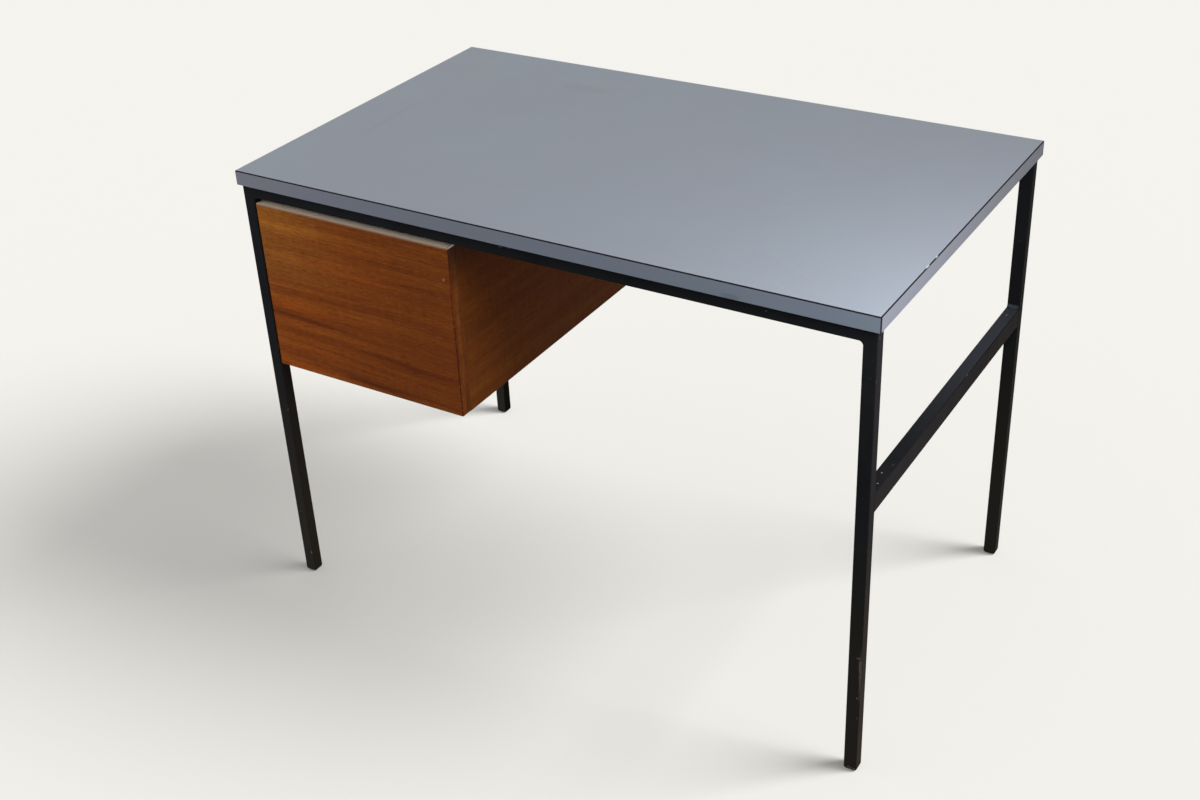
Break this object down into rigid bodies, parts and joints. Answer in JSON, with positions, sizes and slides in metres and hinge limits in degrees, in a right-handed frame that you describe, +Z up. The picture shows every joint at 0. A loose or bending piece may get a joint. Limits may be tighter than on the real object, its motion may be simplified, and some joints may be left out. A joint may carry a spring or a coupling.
{
  "type": "writing desk",
  "caption": "Rectangular laminate-topped writing desk on a welded square-tube steel frame, with a hanging wooden case at the left that holds a deep drawer.",
  "frame": {"origin": "on the floor, under the middle of the worktop", "axes": "+X to the sitter's right along the worktop's width, +Y from the sitter to the back edge, +Z up"},
  "size_m": [1, 0.595, 0.72],
  "materials": {
    "worktop_laminate": "satin blue-grey decorative laminate",
    "edge_laminate": "satin blue-grey laminate strip",
    "backing_sheet": "dull brown balancing sheet",
    "chipboard": "raw chipboard",
    "frame_paint": "satin black paint, chipped on the edges",
    "glide_plastic": "black moulded plastic",
    "screw_steel": "zinc-plated steel",
    "mahogany": "satin varnished mahogany veneer",
    "mahogany_face": "satin varnished mahogany face veneer, grain across the front",
    "worn_lipping": "pale lipping, worn by hands",
    "beech": "plain sanded beech",
    "plywood": "unfinished plywood",
    "hardboard": "smooth brown hardboard"
  },
  "bodies": {
    "desk_frame": {"top_laminate": "worktop_laminate", "top_core": "chipboard", "top_backing": "backing_sheet", "edge_band_front": "edge_laminate", "edge_band_back": "edge_laminate", "edge_band_left": "edge_laminate", "edge_band_right": "edge_laminate", "leg_front_left": "frame_paint", "leg_front_right": "frame_paint", "leg_rear_left": "frame_paint", "leg_rear_right": "frame_paint", "rail_front": "frame_paint", "rail_rear": "frame_paint", "stretcher_left": "frame_paint", "stretcher_right": "frame_paint", "corner_welds": "frame_paint", "stretcher_welds": "frame_paint", "glide_front_left": "glide_plastic", "glide_front_right": "glide_plastic", "glide_rear_left": "glide_plastic", "glide_rear_right": "glide_plastic", "rail_screws": "screw_steel", "case_side_left": "mahogany", "case_side_right": "mahogany", "case_top": "beech", "case_bottom": "mahogany", "case_back": "plywood", "case_lipping_left": "mahogany", "case_lipping_right": "mahogany", "case_lipping_bottom": "mahogany", "case_dowels": "beech", "case_top_screws": "screw_steel", "case_side_screws": "screw_steel", "back_pins": "screw_steel", "runner_left": "beech", "runner_right": "beech", "runner_screws": "screw_steel"},
    "drawer": {"drawer_front_core": "mahogany", "drawer_front_veneer": "mahogany_face", "drawer_lipping_top": "worn_lipping", "drawer_lipping_bottom": "mahogany", "drawer_lipping_left": "mahogany", "drawer_lipping_right": "mahogany", "drawer_inner_front": "beech", "drawer_back": "beech", "drawer_side_left": "beech", "drawer_side_right": "beech", "drawer_bottom": "hardboard", "drawer_front_screws": "screw_steel"}
  },
  "joints": [
    {"name": "drawer_slide", "type": "slide", "parent": "desk_frame", "child": "drawer", "axis": [0, -1, 0], "range_m": [0, 0.38]}
  ]
}
